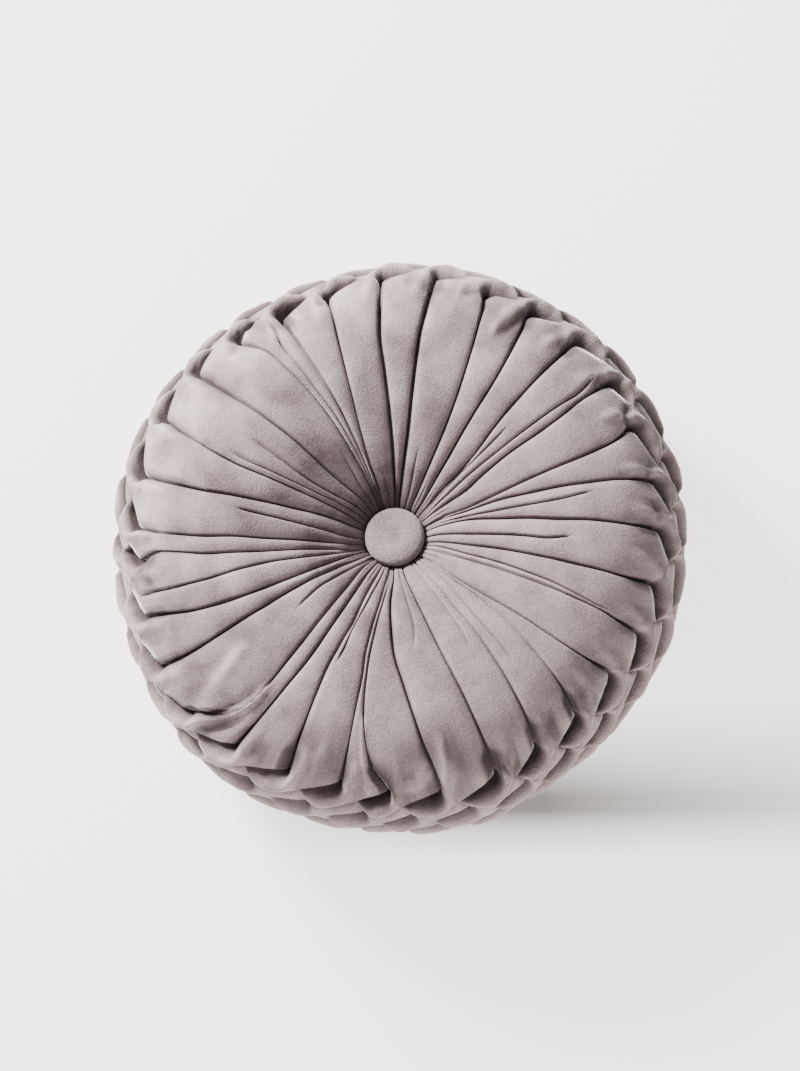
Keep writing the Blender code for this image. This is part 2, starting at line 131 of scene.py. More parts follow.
# Ridges and tucks that the stitches pull into the cloth: height in millimetres, below 0 for a tuck, half
# width, and path as pairs of distance out over the cloth and angle
WRINKLES = (
    (-3.5, 4.5, ((181, 16), (190, 18), (189, 20))),
    (1.5, 3, ((170, 14.4), (188, 14.8), (200, 17))),
    (2.4, 4, ((161, 26), (181, 27), (196, 28.6), (208, 31.7))),
    (-1.4, 4, ((165, 29), (182, 30), (191, 30.9))),
    (-1.4, 4, ((182, 40.5), (190, 38.5))),
    (1.5, 3, ((196, 39), (206, 41.5))),
    (-2, 2.5, ((184, 55.5), (198, 55.9))),
    (-2.8, 3, ((190, 62.5), (185, 64.5), (187, 66.9))),
    (1.6, 3, ((199, 62), (203, 65.5))),
    (-2.2, 2.5, ((190, 76.8), (187, 78.3), (189, 79.8))),
    (-2, 1.8, ((190, 85.4), (190, 88), (195, 90.5))),
    (1.6, 2.5, ((193, 84), (198, 88), (204, 91))),
    (-1.6, 1.5, ((195, 99.5), (196, 102), (195, 103.8))),
    (1, 2.5, ((188, 111.8), (193, 114.4))),
    (1.2, 2, ((186, 126.9), (190, 127.6), (194, 128.5))),
    (2.2, 3.5, ((176, 131.5), (189, 133), (199, 135.6), (206, 139))),
    (2, 3, ((196, 145.8), (202, 147.6), (208, 149.5))),
    (-1.8, 1.5, ((193, 147.4), (196, 148.8))),
    (2.6, 3, ((187, 154.3), (197, 156.5), (208, 159), (216, 162))),
    (-2, 1.6, ((190, 155.2), (194, 157), (197, 158.9))),
    (2.5, 3, ((164, 169.5), (184, 169.9), (199, 170.6), (210, 172.5))),
    (3.5, 4, ((181, 173.7), (189, 176.4), (199, 181.3), (209, 185.2))),
    (-0.7, 4, ((182, 176.5), (190, 180), (195, 181.6))),
    (2.4, 2.2, ((152, 189.4), (171, 188.2), (185, 186.9), (197, 186.2))),
    (1.5, 2, ((186, 187.4), (190, 189.3), (193, 191.6))),
    (2, 4, ((171, 197.5), (184, 198.8), (196, 199.8))),
    (2, 2.5, ((187, 200.5), (197, 202.2), (202, 203.6))),
    (2.5, 2.5, ((199, 211.3), (206, 214.3), (210, 216.3))),
    (3.2, 3, ((158, 217.4), (169, 218.3), (187, 221.7), (200, 225.2), (216, 229))),
    (-2, 1.6, ((163, 219.2), (185, 223.2), (197, 226.7))),
    (2, 5, ((195, 226.8), (181, 226.8), (163, 228), (150, 229.5))),
    (-1.3, 5, ((195, 229.2), (175, 230.2), (160, 231.2))),
    (-2.5, 1.8, ((185, 256.4), (192, 259.6), (200, 262.8), (206, 265.3))),
    (1.6, 2.2, ((189, 255.2), (197, 258.8), (205, 262))),
    (-1.3, 1.5, ((180, 261.2), (193, 262))),
    (-1.8, 1.5, ((178, 267.9), (191, 269.2))),
    (-2.2, 3, ((192, 277.5), (196, 281))),
    (-2.2, 3, ((195, 291.5), (198, 294.5))),
    (-1.6, 2.5, ((189, 305.5), (195, 307.4))),
    (-4, 4.2, ((181, 316.4), (190, 318), (200, 320.3))),
    (1.8, 2.5, ((184, 321.2), (198, 323.6))),
    (-4, 3.8, ((180, 340.7), (190, 341.9), (202, 343.4))),
    (1.5, 3, ((172, 339), (188, 339.6))),
    (-0.9, 3.5, ((56, 122), (60, 123))),
    (-0.8, 3.5, ((84, 157), (88, 158))),
)

# Each leaf's ridge where it leaves its pleat: points as share of the pleat and distance past the knots
THUMB_PATH = ((0.75, -14), (0.80, -5), (0.85, 4), (0.95, 12), (1.15, 17))
THUMB_HEIGHTS = (2.0, 0.9, 0.4, 0.0)
THUMB_WIDTH = 4.0
WRINKLE_STEPS = 6

# A pleat with no shorter fold takes a small one near the button, from this radius inwards
INNER_FOLD_RADIUS = 44.0
INNER_FOLD_FADE = 16.0
INNER_FOLD_DEPTH = 0.7

# How far the side stands out past the section, in millimetres, by angle
OUTLINE = (
    ("angle", "out"),
    (0, 1.8), (15, 3.0), (30, 2.4), (45, 3.4), (60, 1.2), (90, 0.0), (120, -0.5),
    (135, -1.8), (150, 0.0), (165, 4.5), (180, 4.0), (195, 4.5), (217, 7.0), (232, 5.0),
    (250, 2.5), (270, 0.5), (285, 2.8), (300, 1.2), (315, 0.0), (345, -1.0), (360, 1.8),
)
OUTLINE_FROM = 125.0
OUTLINE_FULL = 185.0

# Where the pleats meet, a little off the face's middle, and how far out that pull reaches
GATHER = (-3.7, -2.5)
GATHER_FROM = 20.0
GATHER_REACH = 150.0
GATHER_POWER = 1.5

# Columns of points, and how much closer they stand near the folds
PER_PLEAT = 20
EASE = 0.55
PLEATS = len(FOLDS) - 1
COLUMNS = PER_PLEAT * PLEATS
SLIT_SHARE = 0.70
SLIT_END_SHARE = 0.8
EVEN_SHARES = np.arange(PER_PLEAT) / PER_PLEAT

# Rows of the face, closer near the button and bending out to the slits
FACE_ROWS = 46
ROWS_EVEN = 0.65
ROWS_CLOSE = 0.35
ROWS_CLOSE_POWER = 1.6
KNOT_RADIUS = 176.0
BEND_FROM_RADIUS = 132.0
BEND_POWER = 1.5
KNOT_SETTLE = 4.0
SIDE_BLEND_FROM = 0.25

# Columns and shares that a shorter fold leaves free at both sides of its pleat
EDGE_COLUMNS_FREE = 4
PLY_SHARE_FREE = 0.07
PLY_SHARE_STEP = 0.08

# Pleat relief, in millimetres, with each crease as a share of its shoulder
FOLD_SHOULDER = 6.5
LEAST_REACH = 0.05
OPEN_LIMIT = 0.2
CREASE_SHARES = (("radius", "share"), (60, 0.27), (110, 0.24), (150, 0.16))
SOFT_SHARE = 0.22
FOLD_DEPTH = (
    ("radius", "depth"),
    (SEAT_RADIUS, 0.2), (20, 2.2), (30, 3.8), (50, 4.8), (120, 4.0), (150, 3.8), (176, 4.6),
)
PLEAT_CROWN = 0.05
CROWN_POWER = 0.8
SUNK_PLY = 3.0
SUNK_MOST = 0.8
EDGE_BLEND = 6.5

# The braid, whose edges climb one row in one and a half pleats
BRAID_ROWS = 4
BRAID_PITCH = 25.0
ROW_SHIFT = 0.5
SLIT_RISE = 11.5
SLIT_CLIMB_POWER = 0.95
SLIT_FALL_POWER = 1.1
TOP_SHARE = 0.69
TOP_RISE = 23.0
TOP_ROUND = 3.0
EDGE_GAP = 1.3
UNEVEN_ROWS = 2
UNEVEN_TOPS = 0.6
ROOM_WIDTH = 9.0
LEAF_RISE_SHARES = (0.14, 0.32, 0.52, 0.75)
FOOT_RISE_SHARES = (0.3, 0.6)
SEED = 11

# By the share of the pleat past the knot: heights of the slit's near edge and of the pocket's floor, in
# millimetres, how far that edge stands free, and how far across the leaf the hollow reaches
EDGE_TABLE = (
    ("share", "edge", "floor", "free", "hollow"),
    (0.00, -5.0, -9.0, 0.8, 0.50), (0.03, -1.8, -11.5, 1.0, 0.55), (0.07, -0.4, -12.5, 1.0, 0.55),
    (0.20, 0.2, -12.5, 1.0, 0.50), (0.35, 0.5, -11.0, 1.0, 0.34), (0.50, 0.9, -8.0, 1.0, 0.16),
    (0.62, 1.6, -3.5, 0.8, 0.04), (0.70, 2.1, 1.0, 0.3, 0.00), (0.76, 2.6, 2.6, 0.0, 0.00),
    (0.86, 3.0, 3.0, 0.0, 0.00), (0.92, 2.4, 2.4, 0.0, 0.05), (0.96, 0.2, -4.0, 0.4, 0.20),
    (1.00, -5.0, -9.0, 0.8, 0.50),
)

# How far the pockets stand open, as a share, by angle round the side
POCKETS = (
    ("angle", "open"),
    (0, 0.42), (45, 0.30), (90, 0.36), (135, 0.55), (180, 0.42), (205, 0.28), (250, 0.40),
    (275, 0.85), (320, 1.00), (360, 0.42),
)

# By the share of the way along a leaf: heights of its top and of its outer edge's foot, and how far that
# edge stands free
LEAF_TABLE = (
    ("share", "top", "foot", "free"),
    (0.00, 2.0, -1.0, 0.4), (0.08, 2.8, -5.0, 0.8), (0.30, 4.4, -7.0, 1.0),
    (0.60, 5.4, -8.0, 1.0), (0.74, 5.4, -8.5, 1.0), (0.86, 4.6, -7.0, 1.0),
    (0.95, 2.2, -5.0, 0.8), (1.00, -1.5, -3.0, 0.4),
)


def column(table, name):
    """One column of a table, by its name in the table's first row."""
    return np.array([row[table[0].index(name)] for row in table[1:]], float)


def read_table(table, name, where):
    """One column of a table, read at places between the values of its first column."""
    return np.interp(where, column(table, table[0][0]), column(table, name))


def smoothstep(value):
    value = np.clip(value, 0, 1)
    return value * value * (3 - 2 * value)


def smooth_curve(points, steps=16):
    """A Catmull-Rom curve through the points, as an array of closely spaced points."""
    pts = np.array(points, float)
    padded = np.vstack([2 * pts[0] - pts[1], pts, 2 * pts[-1] - pts[-2]])
    out = []
    for a, b, c, d in zip(padded, padded[1:], padded[2:], padded[3:]):
        for t in np.arange(steps) / steps:
            out.append(0.5 * (2 * b + (c - a) * t + (2 * a - 5 * b + 4 * c - d) * t**2
                              + (3 * b - a - 3 * c + d) * t**3))
    out.append(pts[-1])
    return np.array(out)


class Section:
    """The cushion's section from the front seat over the side to the back seat, by distance along it."""

    def __init__(self):
        middle = THICKNESS / 2
        press = 1 + REST_PRESS / middle
        back = [(r, middle - (z - middle) * press) for r, z in SECTION[-2::-1]]
        self.points = smooth_curve(list(SECTION) + back)
        lengths = np.hypot(*np.diff(self.points, axis=0).T)
        self.along = np.concatenate([[0.0], np.cumsum(lengths)])
        self.widest = self.along[int(np.argmax(self.points[:, 0]))]

    def at(self, along):
        radius = np.interp(along, self.along, self.points[:, 0])
        height = np.interp(along, self.along, self.points[:, 1])
        return radius, height

    def outward(self, along):
        """Direction out of the cloth, from the slope over a short stretch each way."""
        r0, z0 = self.at(along - SLOPE_REACH)
        r1, z1 = self.at(along + SLOPE_REACH)
        length = np.hypot(r1 - r0, z1 - z0)
        return -(z1 - z0) / length, (r1 - r0) / length

    def front(self, radius):
        half = self.along <= self.widest
        return np.interp(radius, self.points[half, 0], self.along[half])

    def back(self, radius):
        half = self.along >= self.widest
        return np.interp(-radius, -self.points[half, 0], self.along[half])


SECTION_LINE = Section()


def keep_apart(angles, least):
    """Pushes neighbouring folds of each row apart until none lie closer than the least gap."""
    angles = np.array(angles, float)
    for _ in range(APART_ROUNDS):
        nexts = np.concatenate([angles[:, 1:], angles[:, :1] + 360], axis=1)
        short = np.clip(least - (nexts - angles), 0, None) / 2
        angles += np.roll(short, 1, axis=1) - short
    return angles


def smooth_path(at, angles, where):
    """Reads a path given at a few places, on a curve with no corners and no overshoot."""
    order = np.argsort(at)
    x = np.asarray(at, float)[order]
    y = np.asarray(angles, float)[order]
    slopes = np.diff(y) / np.diff(x)
    before = slopes[:-1]
    after = slopes[1:]
    between = 2 * after * before / (after + before + 1e-12)
    inner = np.where(after * before > 0, between, 0.0)
    ends = np.concatenate([[slopes[0]], inner, [slopes[-1]]])
    where = np.clip(where, x[0], x[-1])
    k = np.clip(np.searchsorted(x, where) - 1, 0, len(x) - 2)
    width = x[k + 1] - x[k]
    t = (where - x[k]) / width
    return ((2 * t**3 - 3 * t**2 + 1) * y[k] + (t**3 - 2 * t**2 + t) * width * ends[k]
            + (3 * t**2 - 2 * t**3) * y[k + 1] + (t**3 - t**2) * width * ends[k + 1])


def side_angles():
    """Angles of the side's columns, shifted so that one column meets each slit's end."""
    starts = column(FOLDS, "knot")
    stops = np.append(starts[1:], starts[0] + 360)
    ends = column(FOLDS, "slit_end")
    even = starts + SLIT_SHARE * (stops - starts)
    ends = even + (ends - even) * SLIT_END_SHARE
    out = []
    for start, end, stop in zip(starts, ends, stops):
        out.append(np.interp(EVEN_SHARES, (0.0, SLIT_SHARE, 1.0), (start, end, stop)))
    return np.array(out)


SIDE_ANGLES = side_angles()


def column_shares(row):
    """Each column's place in its pleat, as a share, counted from that braid row's own knots."""
    return np.tile(np.mod(EVEN_SHARES - ROW_SHIFT * row, 1.0), PLEATS)


def leaf_shares(row):
    """Each column's place along its leaf, as a share from one slit's end to the next."""
    return np.mod(column_shares(row) + 1 - SLIT_SHARE, 1.0)


def slit_line(row):
    """Distance past the knots of the line that climbs along each slit and falls back to the next knot."""
    share = column_shares(row)
    climb = (share / SLIT_SHARE) ** SLIT_CLIMB_POWER
    fall = ((1 - share) / (1 - SLIT_SHARE)) ** SLIT_FALL_POWER
    return SLIT_RISE * np.where(share <= SLIT_SHARE, climb, fall)


def leaf_line(row):
    """Distance past the knots of the leaf's outer edge: straight up to its rounded top, then down its end."""
    share = leaf_shares(row)
    start = SLIT_RISE + EDGE_GAP
    climb = start + (TOP_RISE - start) * share / TOP_SHARE
    fall = start + (TOP_RISE - start) * (1 - share) / (1 - TOP_SHARE)
    return -TOP_ROUND * np.log(np.exp(-climb / TOP_ROUND) + np.exp(-fall / TOP_ROUND))


def uneven_tops(row):
    """A smooth seeded unevenness of the leaves' tops, with one value for each pleat."""
    values = np.random.default_rng((SEED, row, 1)).uniform(-UNEVEN_TOPS, UNEVEN_TOPS, PLEATS)
    return np.interp(np.arange(COLUMNS) / PER_PLEAT, np.arange(PLEATS + 1), np.append(values, values[0]))


def row_start(row):
    """Where a braid row's knots lie: uneven like the face's in the first rows, level in the others."""
    own = SECTION_LINE.front(column(FOLDS, "knot_radius"))
    following = np.append(own[1:], own[0])
    between = (own[:, None] + (following - own)[:, None] * EVEN_SHARES).ravel()
    kept = max(0.0, 1 - row / UNEVEN_ROWS)
    return own.mean() + (between - own.mean()) * kept + BRAID_PITCH * row


def groove(away, reach, opening, crease_share):
    """Depth share at a distance from a fold: a narrow steep crease in a wide soft shoulder."""
    past = np.clip(away - opening, 0, None)
    near = np.clip(1 - past / np.maximum(reach * crease_share, LEAST_REACH), 0, 1)
    wide = np.clip(1 - past / np.maximum(reach, LEAST_REACH), 0, 1)
    crease = 1 - np.sqrt(1 - near**2)
    return (1 - SOFT_SHARE) * crease + SOFT_SHARE * wide**2


def short_folds_of(pleat):
    """The shorter folds of one pleat, clockwise, each by the names of its columns."""
    rows = [dict(zip(SHORT_FOLDS[0], row)) for row in SHORT_FOLDS if row[0] == pleat + 1]
    return sorted(rows, key=lambda row: row["path"][0][1])


def ease_columns(count):
    """Places of columns across a ply, closer together near the folds at its two sides."""
    t = np.arange(count) / count
    return t - EASE * np.sin(2 * math.pi * t) / (2 * math.pi)


def face_alongs():
    """Distance along the section of the face's points, and each row's share of the bend to the slits."""
    knot_along = SECTION_LINE.front(KNOT_RADIUS)
    bend_from = SECTION_LINE.front(BEND_FROM_RADIUS)
    steps = np.linspace(0, 1, FACE_ROWS)
    even = knot_along * (ROWS_CLOSE * steps**ROWS_CLOSE_POWER + ROWS_EVEN * steps)
    toward = np.clip((even - bend_from) / (knot_along - bend_from), 0, 1)
    slit = row_start(0) + slit_line(0)
    along = even[:, None] + (slit - knot_along) * toward[:, None] ** BEND_POWER
    return along, toward


def fold_angles(own, toward):
    """Angle of every main fold on each row of the face."""
    knots = column(FOLDS, "knot")
    knot_radii = column(FOLDS, "knot_radius")
    inner = np.array([column(FOLDS, "at_%d" % radius) for radius in FOLD_RADII])
    angles = np.empty((FACE_ROWS, PLEATS))
    for pleat in range(PLEATS):
        at = SECTION_LINE.front(np.array((knot_radii[pleat], *FOLD_RADII)))
        at[0] += 0.5 if at[0] <= at[1] else 0.0
        where = own[:, pleat] + KNOT_SETTLE * toward**4
        angles[:, pleat] = smooth_path(at, (knots[pleat], *inner[:, pleat]), where)
    return keep_apart(angles, LEAST_GAP)


def fold_strengths(radius):
    """Strength of every main fold on each row of the face, less near the rim for the soft ones."""
    near_rim = smoothstep((radius - SOFT_RIM_FROM) / (SOFT_RIM_FULL - SOFT_RIM_FROM))
    strengths = np.ones((FACE_ROWS, PLEATS))
    soft = column(SOFT_RIM, "fold").astype(int) - 1
    strengths[:, soft] -= (1 - column(SOFT_RIM, "share")) * near_rim[:, soft]
    return strengths


def pleat_marks(pleat, edge, span, own, radius, strengths):
    """The folds across one pleat, both its sides included: column, place as a share, strength and opening."""
    opening = column(FOLDS, "open")
    following = (pleat + 1) % PLEATS
    shorts = short_folds_of(pleat)
    marks = [(0, np.zeros(FACE_ROWS), strengths[:, pleat], opening[pleat])]
    for n, short in enumerate(shorts):
        radii, turns = np.array(short["path"], float).T
        at = SECTION_LINE.front(radii)
        where = np.clip(own, at.min(), at.max())
        share = (smooth_path(at, turns, where) - edge) / span
        inside = own <= at.max()
        last = int(np.nonzero(inside)[0].max())
        share = np.where(inside, share, share[last])
        lowest = PLY_SHARE_FREE + PLY_SHARE_STEP * n
        highest = 1 - PLY_SHARE_FREE - PLY_SHARE_STEP * (len(shorts) - 1 - n)
        share = np.clip(share, lowest, highest)
        strength = short["depth"] * smoothstep((at.max() - own) / short["fade"])
        mark = round(PER_PLEAT * (n + 1) / (len(shorts) + 1))
        if len(shorts) == 1:
            mark = np.clip(round(share[last] * PER_PLEAT), EDGE_COLUMNS_FREE, PER_PLEAT - EDGE_COLUMNS_FREE)
        marks.append((int(mark), share, strength, 0.0))
    if not shorts:
        strength = INNER_FOLD_DEPTH * smoothstep((INNER_FOLD_RADIUS - radius) / INNER_FOLD_FADE)
        marks.append((PER_PLEAT // 2, np.full(FACE_ROWS, 0.5), strength, 0.0))
    marks.append((PER_PLEAT, np.ones(FACE_ROWS), strengths[:, following], opening[following]))
    return marks


def ply_shares(marks):
    """Place of each column across a pleat, as a share, closer together at its folds."""
    shares = np.empty((FACE_ROWS, PER_PLEAT))
    for (c0, s0, _, _), (c1, s1, _, _) in zip(marks, marks[1:]):
        shares[:, c0:c1] = s0[:, None] + (s1 - s0)[:, None] * ease_columns(c1 - c0)
    return shares


def ply_depths(marks, across, full, narrow):
    """How deep each point of a pleat lies, as a share of a main fold's depth."""
    low = np.zeros((FACE_ROWS, PER_PLEAT))
    for (c0, _, a0, o0), (c1, _, a1, o1) in zip(marks, marks[1:]):
        place0 = across[:, c0, None]
        place1 = across[:, c1, None] if c1 < PER_PLEAT else full[:, None]
        here = across[:, c0:c1]
        width = place1 - place0
        reach0 = np.minimum(FOLD_SHOULDER, width * (1 - 0.5 * np.clip(a1, 0, 1)[:, None]))
        reach1 = np.minimum(FOLD_SHOULDER, width * (1 - 0.5 * np.clip(a0, 0, 1)[:, None]))
        down0 = groove(here - place0, reach0, np.minimum(o0, OPEN_LIMIT * width), narrow) * a0[:, None]
        down1 = groove(place1 - here, reach1, np.minimum(o1, OPEN_LIMIT * width), narrow) * a1[:, None]
        sunk = np.clip(1 - width / SUNK_PLY, 0, SUNK_MOST) * np.minimum(a0, a1)[:, None]
        low[:, c0:c1] = np.maximum(np.maximum(down0, down1), sunk)
    return low


def face_grid():
    """Angle, distance along the section and lift of every point of the face, row by row."""
    along, toward = face_alongs()
    own = along[:, ::PER_PLEAT]
    radius, _ = SECTION_LINE.at(own)
    edges = fold_angles(own, toward)
    nexts = np.concatenate([edges[:, 1:], edges[:, :1] + 360], axis=1)
    strengths = fold_strengths(radius)
    blend = smoothstep((toward - SIDE_BLEND_FROM) / (1 - SIDE_BLEND_FROM))
    slit = row_start(0) + slit_line(0)
    knots = np.append(SIDE_ANGLES[:, 0], SIDE_ANGLES[0, 0] + 360)
    angle = np.empty((FACE_ROWS, PLEATS, PER_PLEAT))
    lift = np.empty((FACE_ROWS, PLEATS, PER_PLEAT))
    for p in range(PLEATS):
        span = nexts[:, p] - edges[:, p]
        full = np.radians(span) * radius[:, p]
        marks = pleat_marks(p, edges[:, p], span, own[:, p], radius[:, p], strengths)
        shares = ply_shares(marks)
        side = (SIDE_ANGLES[p] - knots[p]) / (knots[p + 1] - knots[p])
        shares = shares + (side - shares) * blend[:, None]
        angle[:, p] = edges[:, p, None] + span[:, None] * shares
        across = np.radians(span[:, None] * shares) * radius[:, p, None]
        narrow = read_table(CREASE_SHARES, "share", radius[:, p])
        low = ply_depths(marks, across, full, narrow[:, None])
        crown = PLEAT_CROWN * full[:, None] * np.sin(math.pi * shares) ** CROWN_POWER
        depth = read_table(FOLD_DEPTH, "depth", radius[:, p])[:, None]
        columns = slice(p * PER_PLEAT, (p + 1) * PER_PLEAT)
        rim = smoothstep(1 - (slit[columns] - along[:, columns]) / EDGE_BLEND)
        lift[:, p] = (crown - depth * low) * (1 - rim) + edge_value(0, "edge")[columns] * rim
    return angle.reshape(FACE_ROWS, COLUMNS), along, lift.reshape(FACE_ROWS, COLUMNS)


def edge_value(row, name):
    return read_table(EDGE_TABLE, name, column_shares(row))


def leaf_value(row, name):
    return read_table(LEAF_TABLE, name, leaf_shares(row))


def pocket_open(angle):
    """How far the pockets stand open at an angle round the side, as a share."""
    return read_table(POCKETS, "open", np.mod(angle, 360))


def braid_grid():
    """Rows of the braided side: the slits' edges, their pockets, the leaves and their outer edges."""
    alongs = []
    lifts = []

    def add(along, lift):
        alongs.append(along)
        lifts.append(lift)

    for row in range(BRAID_ROWS):
        slit = row_start(row) + slit_line(row)
        leaf = row_start(row) + leaf_line(row)
        next_slit = row_start(row + 1) + slit_line(row + 1)
        edge = edge_value(row, "edge")
        free = edge_value(row, "free")
        open_share = pocket_open(SIDE_ANGLES.ravel())
        floor = edge - (edge - edge_value(row, "floor")) * open_share
        hollow = edge_value(row, "hollow") * open_share
        top = leaf_value(row, "top") + uneven_tops(row)
        foot = leaf_value(row, "foot")
        leaf_free = leaf_value(row, "free")
        room = np.clip((leaf - slit) / ROOM_WIDTH, 0.1, 1)
        # The slit's near edge, rounded over and tucked back, then the floor of its pocket
        drop = edge - floor
        add(slit + 0.15, edge - np.minimum(0.9 * free, 0.2 * drop))
        add(slit + 0.25 - 0.2 * free, edge - np.minimum(2.2 * free, 0.4 * drop))
        add(slit + 0.4 - 1.6 * free * room, edge - np.minimum(4.5 * free, 0.7 * drop))
        add(slit + 0.6 - 1.6 * free * room, floor)
        # The leaf, rising out of the pocket to its top
        start = slit + 1.6 * room
        stop = leaf - 3.0 * room
        add(start, floor + 0.3)
        for t in LEAF_RISE_SHARES:
            rise = np.sin(math.pi / 2 * np.clip((t - hollow) / (1 - hollow), 0.04, 1))
            add(start + (stop - start) * t, floor + 0.3 + (top - floor - 0.3) * rise)
        # Its outer edge, rounded over and tucked back, down to its foot
        fall = top - foot
        add(stop, top)
        add(leaf - 1.5 * room, top - 0.3)
        add(leaf - 0.5 * room, top - 1.0)
        add(leaf, top - np.minimum(2.0, 0.35 * fall))
        add(leaf - 0.3 * leaf_free * room, top - 0.55 * fall)
        add(leaf - 1.2 * leaf_free * room, top - 0.85 * fall)
        # The cloth past the leaf, rising to the next row's slit
        next_room = np.clip((next_slit - leaf) / ROOM_WIDTH, 0.1, 1)
        next_edge = edge_value(row + 1, "edge")
        start = leaf + 0.6 * next_room
        stop = next_slit - 2.5 * next_room
        add(start, foot)
        for t in FOOT_RISE_SHARES:
            rise = math.sin(math.pi / 2 * t)
            add(start + (stop - start) * t, foot + (next_edge - foot) * rise)
        add(stop, next_edge)
        if row < BRAID_ROWS - 1:
            add(next_slit - 1.0 * next_room, next_edge)
            add(next_slit - 0.2, next_edge - 0.3)
    return np.tile(SIDE_ANGLES.ravel(), (len(alongs), 1)), np.array(alongs), np.array(lifts)


# The covered buttons, in millimetres, and shallow dents in their domes as place, width and depth
BUTTON_RADIUS = 20.5
BUTTON_FOOT_RADIUS = 12.5
BUTTON_RIM_HEIGHT = 6.2
BUTTON_DOME = 5.6
BUTTON_DOME_POWER = 0.62
CLEARANCE = 0.3
BUTTON_ROWS = 24
BUTTON_FOOT_ROWS = 6
BUTTON_COLUMNS = 96
BUTTON_TUCKS = 14
BUTTON_TUCK = 1.2
BUTTON_DENTS = ((2.5, 5, 5, 0.5), (2, -3.5, 4.5, 0.8), (-9, -4, 6, 0.7), (9, 2, 7, 0.3))

# Velvet colours, and the settings that are the same all over it
COVER_DARK = (0.091, 0.067, 0.066)
COVER_LIGHT = (0.245, 0.196, 0.197)
# The colour of the painted shade in the cloth's hollows, on the buttons too
COVER_PAINTED_SHADE = (0.024, 0.016, 0.016)
BUTTON_DARK = (0.088, 0.068, 0.067)
BUTTON_LIGHT = (0.258, 0.211, 0.211)
VELVET_SETTINGS = (
    ("Roughness", 0.8),
    ("Sheen Weight", 0.45),
    ("Sheen Roughness", 0.35),
    ("Sheen Tint", (1.0, 0.93, 0.93, 1.0)),
    ("Specular IOR Level", 0.15),
)

# The pile's patches, marks and grain: scale, detail and distortion of each noise, the span of its values
# that is used, and how far it shifts the tone
PATCH_NOISE = (22.0, 3.0, 1.0)
MARK_NOISE = (95.0, 2.0, 0.4)
GRAIN_NOISE = (760.0, 2.0, 0.0)
NOISE_SPAN = (0.3, 0.7)
MARK_TONE = 0.09
GRAIN_TONE = 0.20
GRAIN_STRENGTH = 0.6
GRAIN_DEPTH = 0.0008
# Hollow shares between which the painted shade in the hollows grows from none to full
PAINTED_SHADE_FROM = 0.15
PAINTED_SHADE_FULL = 0.70

# Painted light and shade by place: lighter towards the pile's lean and darker opposite, painted shade over
# the middle and the rim, painted highlights on the crests; and how strong the brushed patches are
NAP_ANGLE = 310.0
PAINTED_SIDE_LIGHT = 0.10
MIDDLE_SHADE = 0.50
MIDDLE_SHADE_RADIUS = 150.0
MIDDLE_SHADE_ANGLE = 250.0
MIDDLE_SHADE_TURN = 0.35
MIDDLE_SHADE_EVEN = 0.65
RIM_SHADE = 0.45
RIM_SHADE_ANGLE = 315.0
RIM_SHADE_FROM = 97.0
RIM_SHADE_FADE = 9.0
CREST_HIGHLIGHT = 0.28
CREST_HEIGHT = 1.6
CREST_SPREAD = 2
SIDE_CREST = 0.5
BRUSHED_MEAN = 0.31
BRUSHED_SWING = 0.16

# Shallow dips and swells of the stuffed cloth, in millimetres
UNEVEN_WAVES = 28
UNEVEN_LENGTHS = (18.0, 48.0)
UNEVEN_HEIGHT = 0.42
UNEVEN_FADE = 50.0

# Painted shade in the hollows: how many columns and rows count as near, and the depths that count as full
HOLLOW_COLUMNS = 6
HOLLOW_ROWS = 3
FACE_HOLLOW_DEPTH = 9.5
SIDE_HOLLOW_DEPTH = 20.0
OPEN_HOLLOW_DEPTH = 12.0

# The back: from where its folds run straight in, to where they stand evenly
BACK_ROWS = 15
BACK_ROWS_POWER = 1.15
BACK_BEND_POWER = 6
BACK_FOLD_DEPTH = 0.75
BACK_CROWN_SHARE = 0.5
BACK_START_RADIUS = 166.0
BACK_EVEN_RADIUS = 45.0


def back_grid():
    """Rows of the back, from the braid in to the seat, with straight folds from the last row's knots."""
    half = int(ROW_SHIFT * PER_PLEAT)
    edges = np.roll(SIDE_ANGLES.ravel(), -half)[::PER_PLEAT]
    even = np.arange(PLEATS) * 360.0 / PLEATS
    even += np.mean(edges - even)
    line = row_start(BRAID_ROWS) + slit_line(BRAID_ROWS)
    start = SECTION_LINE.back(BACK_START_RADIUS)
    stop = SECTION_LINE.along[-1]
    eased = ease_columns(PER_PLEAT)
    angles = []
    alongs = []
    lifts = []
    for n in range(BACK_ROWS):
        t = n / (BACK_ROWS - 1)
        level = start + (stop - start) * (1 - (1 - t) ** BACK_ROWS_POWER)
        toward = (1 - t) ** BACK_BEND_POWER
        along = level + (line - line.mean()) * toward
        radius, _ = SECTION_LINE.at(level)
        straight = np.clip((BACK_START_RADIUS - radius) / (BACK_START_RADIUS - BACK_EVEN_RADIUS), 0, 1)
        here = edges + (even - edges) * straight
        span = np.diff(np.append(here, here[0] + 360))
        shares = eased + (EVEN_SHARES - eased) * toward
        angle = (here[:, None] + span[:, None] * shares).ravel()
        width = np.radians(span)[:, None] * radius
        across = width * shares
        reach = np.minimum(FOLD_SHOULDER, width * 0.5)
        narrow = read_table(CREASE_SHARES, "share", radius)
        low = np.maximum(groove(across, reach, 0.0, narrow), groove(width - across, reach, 0.0, narrow))
        crown = PLEAT_CROWN * width * np.sin(math.pi * shares) * BACK_CROWN_SHARE
        lift = crown - BACK_FOLD_DEPTH * read_table(FOLD_DEPTH, "depth", radius) * low
        angles.append(np.roll(angle, half))
        alongs.append(along)
        lifts.append(np.roll(lift.ravel(), half))
    return np.array(angles), np.array(alongs), np.array(lifts)


